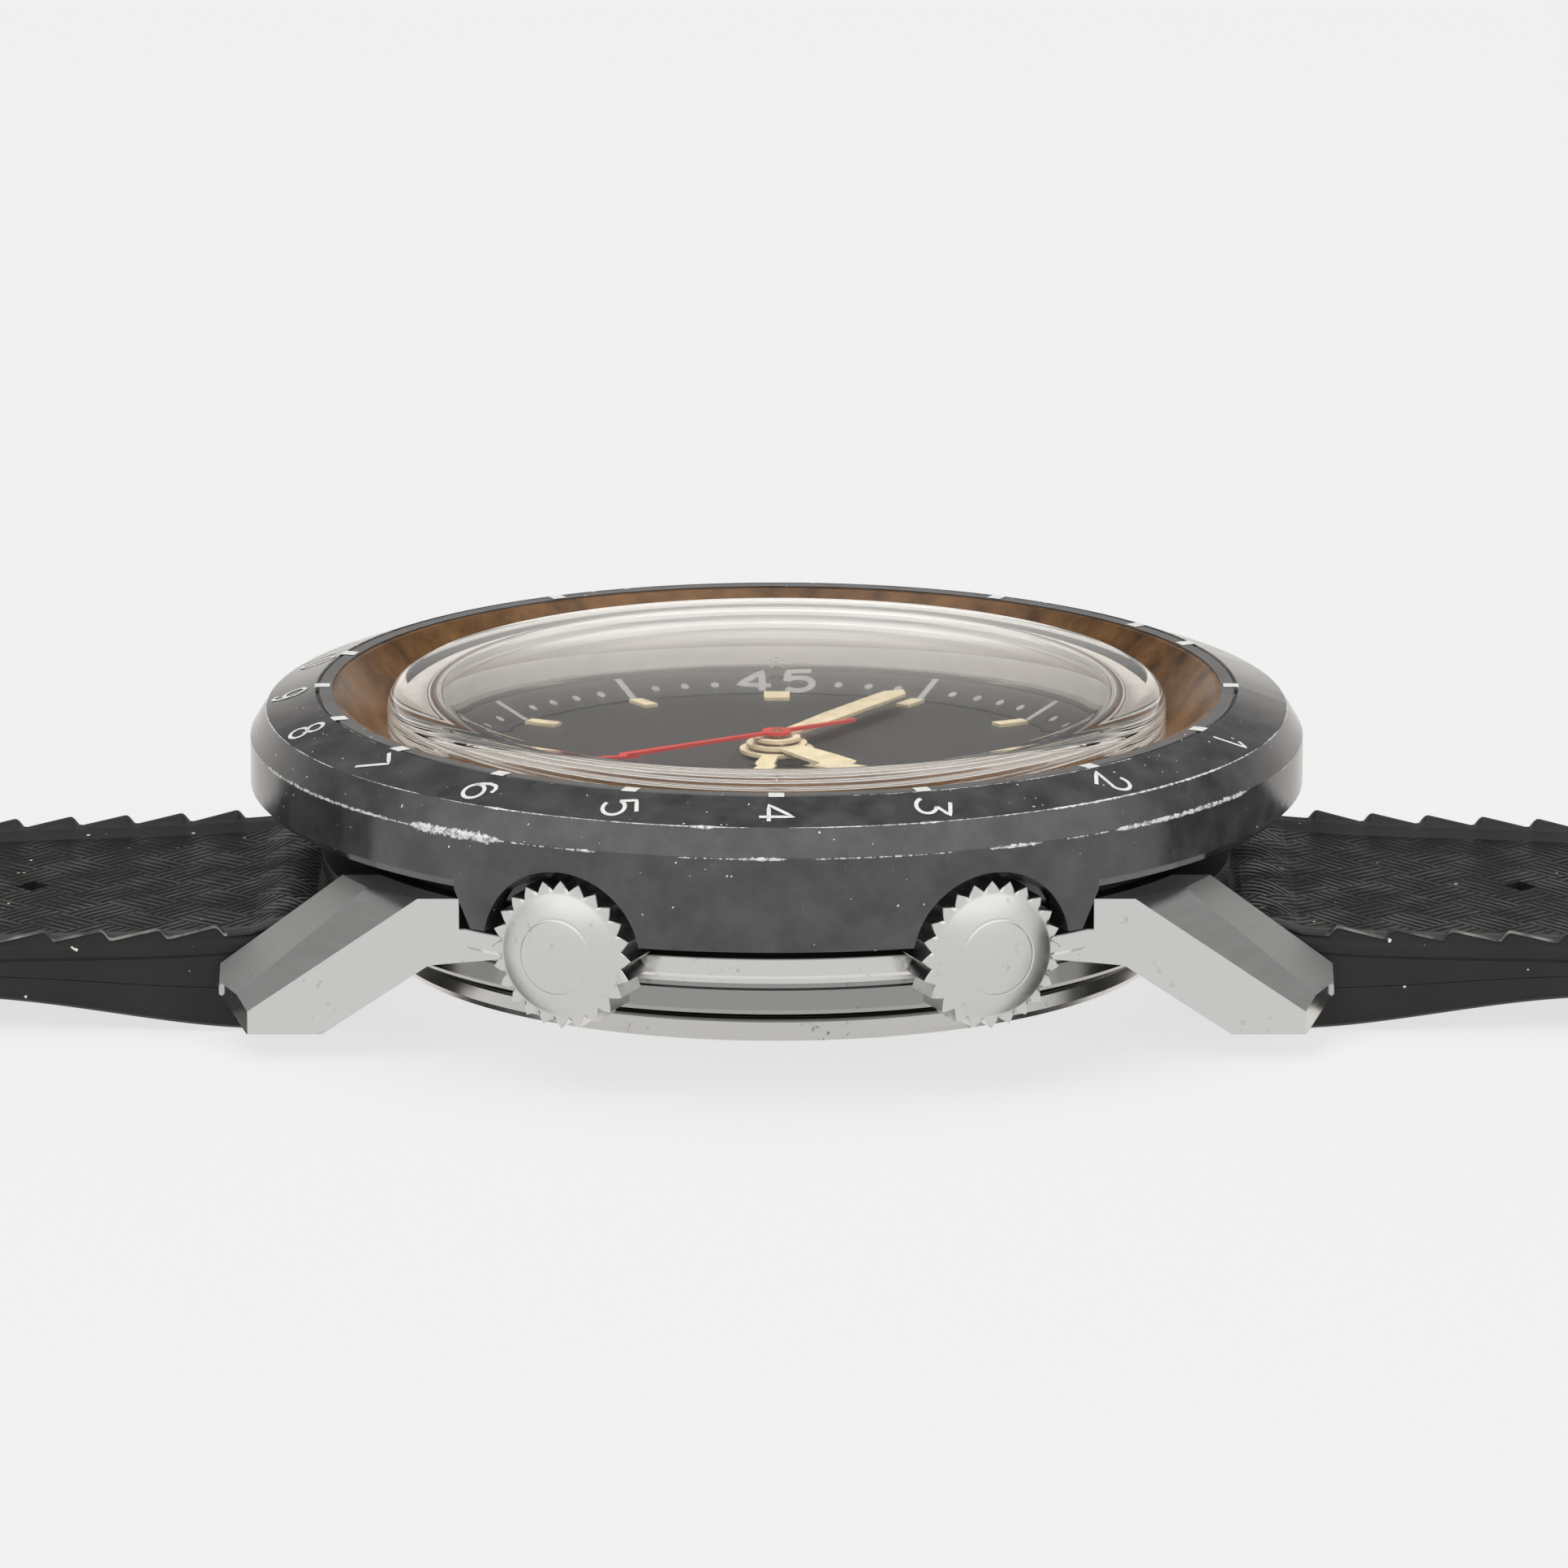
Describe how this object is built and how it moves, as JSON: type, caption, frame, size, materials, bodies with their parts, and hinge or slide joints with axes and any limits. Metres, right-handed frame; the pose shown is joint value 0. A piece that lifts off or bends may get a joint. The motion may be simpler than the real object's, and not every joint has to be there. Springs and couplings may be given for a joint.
{
  "type": "wristwatch",
  "caption": "Mechanical alarm wristwatch with a wide black brim bezel, domed crystal, two saw-cut crowns, faceted lugs, double case back, geared movement and a perforated rubber strap",
  "frame": {"origin": "centre of the case back's outer face, on the dial's axis", "axes": "+X points to 12 o'clock, along the strap towards the buckle; -Y points to 3 o'clock, between the crowns; +Z points out of the dial; right-handed"},
  "size_m": [0.2347, 0.04, 0.0122],
  "materials": {
    "case_steel": "satin",
    "back_steel": "satin",
    "bezel_black": "satin",
    "crystal_acrylic": "gloss",
    "flange_amber": "satin",
    "dial_charcoal": "matt",
    "lume_cream": "matt",
    "hand_red": "satin",
    "plate_rhodium": "satin",
    "brass": "polished",
    "train_steel": "polished",
    "blued_steel": "polished",
    "ruby": "gloss",
    "gasket_rubber": "matt",
    "strap_rubber": "matt",
    "buckle_steel": "satin"
  },
  "bodies": {
    "case": {"case_middle": "case_steel", "bezel": "bezel_black", "flange_ring": "flange_amber", "crystal": "crystal_acrylic", "tension_ring": "case_steel", "dial": "dial_charcoal", "dial_markers": "lume_cream", "sound_back": "back_steel", "outer_back": "back_steel", "back_gasket": "gasket_rubber", "movement_ring": "back_steel", "time_tube": "case_steel", "alarm_tube": "case_steel", "mainplate": "plate_rhodium", "barrel_bridge": "plate_rhodium", "alarm_bridge": "plate_rhodium", "train_bridge": "plate_rhodium", "pallet_bridge": "plate_rhodium", "balance_cock": "plate_rhodium", "jewels": "ruby", "bridge_screws": "blued_steel", "spring_bars": "buckle_steel"},
    "time_pinion": {"time_winding_pinion": "train_steel"},
    "time_crown": {"time_crown": "case_steel", "time_stem": "train_steel", "time_crown_gasket": "gasket_rubber"},
    "alarm_pinion": {"alarm_winding_pinion": "train_steel"},
    "alarm_crown": {"alarm_crown": "case_steel", "alarm_stem": "train_steel", "alarm_crown_gasket": "gasket_rubber"},
    "time_crown_wheel": {"time_crown_wheel": "train_steel"},
    "time_ratchet": {"time_ratchet": "train_steel"},
    "alarm_crown_wheel": {"alarm_crown_wheel": "train_steel"},
    "alarm_ratchet": {"alarm_ratchet": "train_steel"},
    "time_barrel": {"time_barrel": "brass"},
    "alarm_barrel": {"alarm_barrel": "brass"},
    "alarm_hammer": {"alarm_hammer": "train_steel"},
    "fourth": {"fourth_wheel": "brass", "seconds_hand": "hand_red"},
    "centre": {"center_wheel": "brass", "cannon_pinion": "train_steel", "minute_hand": "lume_cream"},
    "third": {"third_wheel": "brass"},
    "escape": {"escape_wheel": "train_steel"},
    "pallet": {"pallet_fork": "train_steel"},
    "balance": {"balance_wheel": "brass", "hairspring": "blued_steel"},
    "minute_wheel": {"minute_wheel": "brass"},
    "hour": {"hour_wheel": "brass", "hour_hand": "lume_cream"},
    "alarm_disc": {"alarm_wheel": "train_steel", "alarm_hand": "lume_cream"},
    "strap_long": {"strap_long": "strap_rubber"},
    "strap_short": {"strap_short": "strap_rubber", "fixed_keeper": "strap_rubber", "buckle_bar": "buckle_steel"},
    "free_keeper": {"free_keeper": "strap_rubber"},
    "buckle_frame": {"buckle_frame": "buckle_steel"},
    "buckle_tongue": {"buckle_tongue": "buckle_steel"}
  },
  "joints": [
    {"name": "time_crown_turn", "type": "hinge", "parent": "case", "child": "time_pinion", "pos_m": [-0.00598, -0.01376, 0.0043], "axis": [-0.3987, -0.9171, 0], "continuous": true},
    {"name": "time_crown_pull", "type": "slide", "parent": "time_pinion", "child": "time_crown", "axis": [-0.3987, -0.9171, 0], "range_m": [0, 0.001]},
    {"name": "alarm_crown_turn", "type": "hinge", "parent": "case", "child": "alarm_pinion", "pos_m": [0.00598, -0.01376, 0.0043], "axis": [0.3987, -0.9171, 0], "continuous": true},
    {"name": "alarm_crown_pull", "type": "slide", "parent": "alarm_pinion", "child": "alarm_crown", "axis": [0.3987, -0.9171, 0], "range_m": [0, 0.001]},
    {"name": "time_crown_wheel_turn", "type": "hinge", "parent": "case", "child": "time_crown_wheel", "pos_m": [-0.00351, -0.00807, 0.0021], "axis": [0, 0, 1], "continuous": true},
    {"name": "time_ratchet_turn", "type": "hinge", "parent": "case", "child": "time_ratchet", "pos_m": [-0.00578, -0.0005, 0.0021], "axis": [0, 0, 1], "continuous": true},
    {"name": "alarm_crown_wheel_turn", "type": "hinge", "parent": "case", "child": "alarm_crown_wheel", "pos_m": [0.00351, -0.00807, 0.0021], "axis": [0, 0, 1], "continuous": true},
    {"name": "alarm_ratchet_turn", "type": "hinge", "parent": "case", "child": "alarm_ratchet", "pos_m": [0.00797, -0.00323, 0.0021], "axis": [0, 0, 1], "continuous": true},
    {"name": "seconds_turn", "type": "hinge", "parent": "case", "child": "fourth", "pos_m": [0, 0, 0.003], "axis": [0, 0, -1], "continuous": true},
    {"name": "minute_turn", "type": "hinge", "parent": "case", "child": "centre", "pos_m": [0, 0, 0.0044], "axis": [0, 0, -1], "continuous": true},
    {"name": "third_turn", "type": "hinge", "parent": "case", "child": "third", "pos_m": [0.00346, 0.002, 0.0035], "axis": [0, 0, -1], "continuous": true},
    {"name": "escape_turn", "type": "hinge", "parent": "case", "child": "escape", "pos_m": [-0.00049, 0.00397, 0.0032], "axis": [0, 0, -1], "continuous": true},
    {"name": "time_barrel_turn", "type": "hinge", "parent": "case", "child": "time_barrel", "pos_m": [-0.00578, -0.0005, 0.0035], "axis": [0, 0, -1], "continuous": true},
    {"name": "minute_wheel_turn", "type": "hinge", "parent": "case", "child": "minute_wheel", "pos_m": [-0.00244, -0.00089, 0.0056], "axis": [0, 0, -1], "continuous": true},
    {"name": "hour_turn", "type": "hinge", "parent": "case", "child": "hour", "pos_m": [0, 0, 0.006], "axis": [0, 0, -1], "continuous": true},
    {"name": "alarm_set_turn", "type": "hinge", "parent": "case", "child": "alarm_disc", "pos_m": [0, 0, 0.0062], "axis": [0, 0, -1], "continuous": true},
    {"name": "alarm_barrel_turn", "type": "hinge", "parent": "case", "child": "alarm_barrel", "pos_m": [0.00797, -0.00323, 0.0035], "axis": [0, 0, -1], "continuous": true},
    {"name": "pallet_swing", "type": "hinge", "parent": "case", "child": "pallet", "pos_m": [-0.00152, 0.00619, 0.0032], "axis": [0, 0, 1], "range_deg": [-5, 5]},
    {"name": "balance_swing", "type": "hinge", "parent": "case", "child": "balance", "pos_m": [-0.00256, 0.00841, 0.0025], "axis": [0, 0, 1], "range_deg": [-270, 270]},
    {"name": "hammer_swing", "type": "hinge", "parent": "case", "child": "alarm_hammer", "pos_m": [0.0074, 0.0052, 0.0032], "axis": [0, 0, 1], "range_deg": [0, 2]},
    {"name": "long_strap_pivot", "type": "hinge", "parent": "case", "child": "strap_long", "pos_m": [-0.0184, 0, 0.001], "axis": [0, 1, 0], "range_deg": [-85, 40]},
    {"name": "short_strap_pivot", "type": "hinge", "parent": "case", "child": "strap_short", "pos_m": [0.0184, 0, 0.001], "axis": [0, -1, 0], "range_deg": [-85, 40]},
    {"name": "free_keeper_slide", "type": "slide", "parent": "strap_short", "child": "free_keeper", "axis": [1, 0, 0], "range_m": [-0.008, 0.008]},
    {"name": "buckle_pivot", "type": "hinge", "parent": "strap_short", "child": "buckle_frame", "pos_m": [0.0904, 0, 0.00115], "axis": [0, -1, 0], "range_deg": [-20, 45]},
    {"name": "tongue_pivot", "type": "hinge", "parent": "buckle_frame", "child": "buckle_tongue", "pos_m": [0.0904, 0, 0.00115], "axis": [0, -1, 0], "range_deg": [0, 60]}
  ],
  "couplings": [
    {"joint": "time_crown_wheel_turn", "follows": "time_crown_turn", "ratio": 0.54545},
    {"joint": "time_ratchet_turn", "follows": "time_crown_turn", "ratio": -0.31579},
    {"joint": "alarm_crown_wheel_turn", "follows": "alarm_crown_turn", "ratio": 0.54545},
    {"joint": "alarm_ratchet_turn", "follows": "alarm_crown_turn", "ratio": -0.42857},
    {"joint": "minute_turn", "follows": "seconds_turn", "ratio": 0.016667},
    {"joint": "third_turn", "follows": "seconds_turn", "ratio": -0.13333},
    {"joint": "escape_turn", "follows": "seconds_turn", "ratio": -10},
    {"joint": "time_barrel_turn", "follows": "seconds_turn", "ratio": -0.0027778},
    {"joint": "minute_wheel_turn", "follows": "seconds_turn", "ratio": -0.0055556},
    {"joint": "hour_turn", "follows": "seconds_turn", "ratio": 0.0013889}
  ]
}
